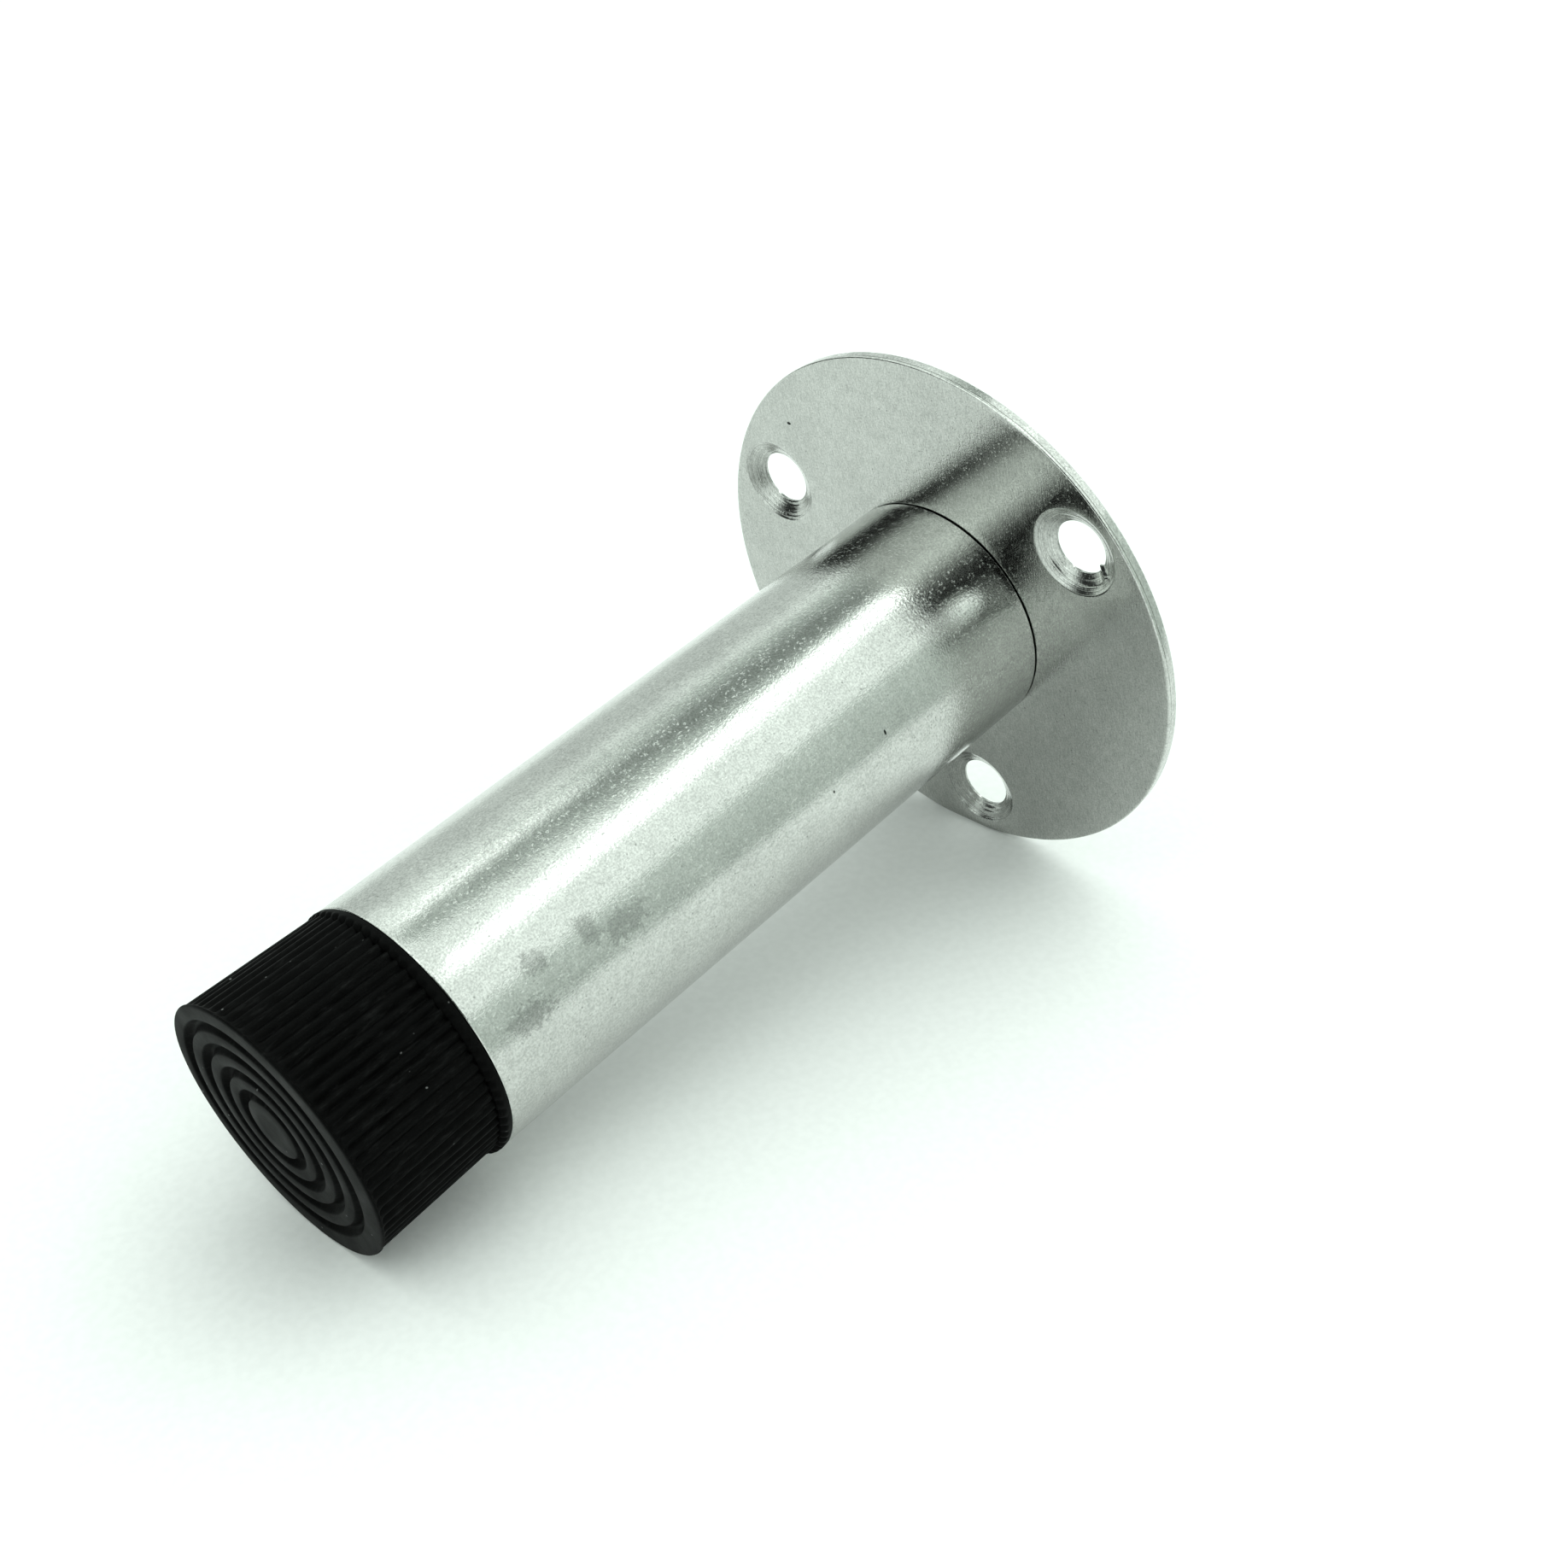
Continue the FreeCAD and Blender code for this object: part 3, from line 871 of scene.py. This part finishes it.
def make_world():
    """Bright surroundings, brightest over the front, dim on the left and where the camera stands. What
    lights the object and what it mirrors varies; the background that the camera sees is plain."""
    world = bpy.data.worlds.new("studio")
    bpy.context.scene.world = world
    world.use_nodes = True
    tree = world.node_tree
    tree.nodes.clear()
    towards = node(tree, "TexCoord").outputs["Generated"]
    strength = WORLD_LEVEL
    for middle, level, starts, full in WORLD_PATCHES:
        sockets = {0: towards, 1: direction(*middle)}
        nearness = node(tree, "VectorMath", sockets, operation="DOT_PRODUCT").outputs["Value"]
        edge, core = (math.cos(math.radians(angle)) for angle in (starts, full))
        strength = maths(tree, "MULTIPLY", ramp(tree, nearness, edge, core, 1.0, level), strength)
    seen = node(tree, "LightPath").outputs["Is Camera Ray"]
    strength = ramp(tree, seen, 0.0, 1.0, strength, WORLD_LEVEL)
    background = node(tree, "Background", {"Color": grey(1, LIGHT_TINT), "Strength": strength})
    node(tree, "OutputWorld", {"Surface": background.outputs["Background"]})


def facing_object(centre, along):
    """A turn that makes +Z face the object from a place, with +Y near a direction."""
    back = (centre - object_middle).normalized()
    side = Vector(along).cross(back).normalized()
    return Matrix((side, back.cross(side), back)).transposed().to_4x4()


def soft_box(name, centre, along, width, length, radiance):
    """A soft box that faces the object. Its length runs along the direction nearest to along."""
    light = bpy.data.lights.new(name, "AREA")
    light.shape = "RECTANGLE"
    light.size = width * MM
    light.size_y = length * MM
    light.energy = radiance * math.pi * light.size * light.size_y
    light.color = STRIP_TINT
    lamp = bpy.data.objects.new(name, light)
    bpy.context.collection.objects.link(lamp)
    lamp.matrix_world = Matrix.Translation(centre) @ facing_object(centre, along)


def studio_card(name, centre, along, width, length, cloth):
    """A card that faces the object. Only reflections show it. cloth(tree, across, lengthwise) makes its
    shade from the shares of its width and length."""
    material, tree, shader = new_material(name + "_cloth")
    shares = node(tree, "SeparateXYZ", {"Vector": node(tree, "TexCoord").outputs["Generated"]})
    shade = cloth(tree, shares.outputs["X"], shares.outputs["Y"])
    colour = mix_colour(tree, shade, grey(0), grey(1, CLOTH_TINT))
    feed(tree, shader, {"Base Color": colour, "Roughness": 1.0})
    work = bmesh.new()
    bmesh.ops.create_grid(work, x_segments=1, y_segments=1, size=0.5)
    mesh = bpy.data.meshes.new(name)
    work.to_mesh(mesh)
    work.free()
    mesh.materials.append(material)
    card = new_object(mesh)
    size = Matrix.Diagonal((width * MM, length * MM, 1, 1))
    card.matrix_world = Matrix.Translation(centre) @ facing_object(centre, along) @ size
    card.visible_camera = False
    card.visible_diffuse = False
    card.visible_shadow = False


def flag_cloth(tree, across, lengthwise):
    """Darkest along its middle, and paler towards its front end."""
    hill = [
        ramp(tree, across, 0.15, 0.5),
        ramp(tree, across, 0.85, 0.5),
        ramp(tree, lengthwise, 0.25, 0.5),
    ]
    return ramp(tree, product(tree, hill), 0.0, 1.0, 0.66, 0.32)


def low_cloth(tree, across, lengthwise):
    """Paler at its upper edge."""
    return ramp(tree, across, 0.0, 1.0, 0.92, 0.70)


def make_lights():
    """A strip light makes the tube's long highlight and a small box the one above its end. A dark card
    makes the streak between them, and a pale card low on the right the band underneath."""
    strip_along = (-0.63, 0.77, 0.0)
    box_along = (0.57, 0.80, -0.16)
    soft_box("strip", Vector((149, 150, 327)) * MM, strip_along, width=46, length=280, radiance=2.0)
    soft_box("small_box", Vector((-142, 86, 334)) * MM, box_along, width=42, length=60, radiance=1.6)
    flag_place = Vector((-70, 154, 348)) * MM
    studio_card("flag", flag_place, box_along, width=250, length=230, cloth=flag_cloth)
    low_place = Vector((120, 15, -3)) * MM
    studio_card("low_card", low_place, (0.0, 1.0, 0.0), width=102, length=260, cloth=low_cloth)


def make_camera():
    """The camera at the photograph's viewing angle."""
    camera = bpy.data.cameras.new("camera")
    camera.sensor_width = 36.0
    camera.lens = CAMERA_LENS
    camera.shift_x, camera.shift_y = CAMERA_SHIFT
    camera.clip_start, camera.clip_end = 0.01, 20.0
    holder = bpy.data.objects.new("camera", camera)
    bpy.context.collection.objects.link(holder)
    azimuth = math.radians(CAMERA_BACK[0])
    back = direction(*CAMERA_BACK)
    level_right = Vector((math.cos(azimuth), math.sin(azimuth), 0))
    level_up = back.cross(level_right)
    roll = math.radians(CAMERA_ROLL)
    up = level_up * math.cos(roll) + level_right * math.sin(roll)
    right = up.cross(back)
    turn = Matrix((right, up, back)).transposed().to_4x4()
    holder.matrix_world = Matrix.Translation(CAMERA_PLACE) @ turn
    bpy.context.scene.camera = holder


# ---------------------------------------------------------------- put together


def put_on(piece, material):
    """Gives a piece or a CAD node one material in all its slots."""
    if not piece.data.materials:
        piece.data.materials.append(material)
    for material_slot in piece.material_slots:
        material_slot.material = material


object_middle = (cad_low + cad_high) / 2

plate = make_plate()
put_on(plate, make_plate_nickel())
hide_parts("base_plate")
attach(plate, "stop")

tube = make_tube()
put_on(tube, make_tube_nickel())
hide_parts("tube")
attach(tube, "stop")

rubber = make_rubber()
put_on(rubber, black_rubber("buffer_black_rubber", wear_and_shade=0.6))
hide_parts("rubber_buffer")
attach(rubber, "buffer")

collar = make_collar()
# Painted shade: the collar's rubber gets fewer light scuffs than the buffer's, so it stays darker as if in
# shade.
put_on(collar, black_rubber("collar_black_rubber", wear_and_shade=0.15))
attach(collar, "buffer")
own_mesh(collar)

screw_steel = turned_steel("screw_bright_zinc", brightness=0.6, roughness=0.3)
put_on(frame["nodes"]["clamp_screw"], screw_steel)
plug_steel = turned_steel("plug_turned_steel", brightness=0.4, roughness=0.35)
put_on(frame["nodes"]["threaded_plug"], plug_steel)

make_floor()
make_world()
make_lights()
make_camera()
bpy.context.scene.view_settings.view_transform = "Standard"
bpy.context.scene.view_settings.look = "Medium High Contrast"
